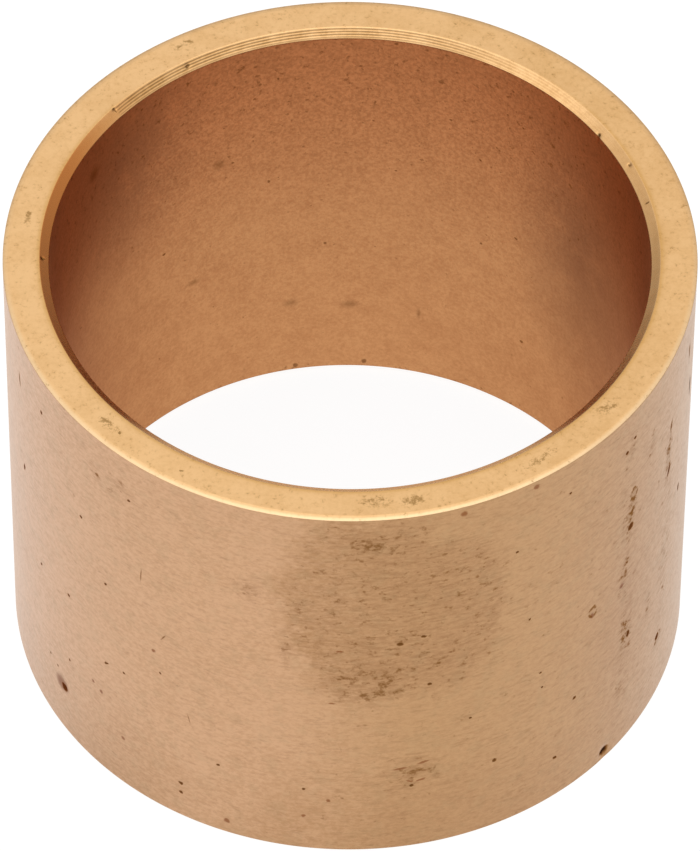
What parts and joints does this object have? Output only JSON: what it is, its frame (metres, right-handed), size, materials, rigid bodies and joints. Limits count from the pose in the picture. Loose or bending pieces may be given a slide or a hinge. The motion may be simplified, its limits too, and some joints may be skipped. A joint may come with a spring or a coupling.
{
  "type": "sleeve bushing",
  "caption": "Plain cylindrical bronze sleeve bushing with a chamfered bore and flat end faces, pressed into a housing to carry a shaft or tube.",
  "frame": {"origin": "centre of the lower end face, on the bore axis", "axes": "+Z along the bore axis, from the lower end face to the upper one; X and Y are free, because the part is round"},
  "size_m": [0.0476, 0.0476, 0.036],
  "materials": {
    "bronze": "turned bearing bronze, satin, lightly stained"
  },
  "bodies": {
    "root": {"sleeve": "bronze"}
  },
  "joints": []
}
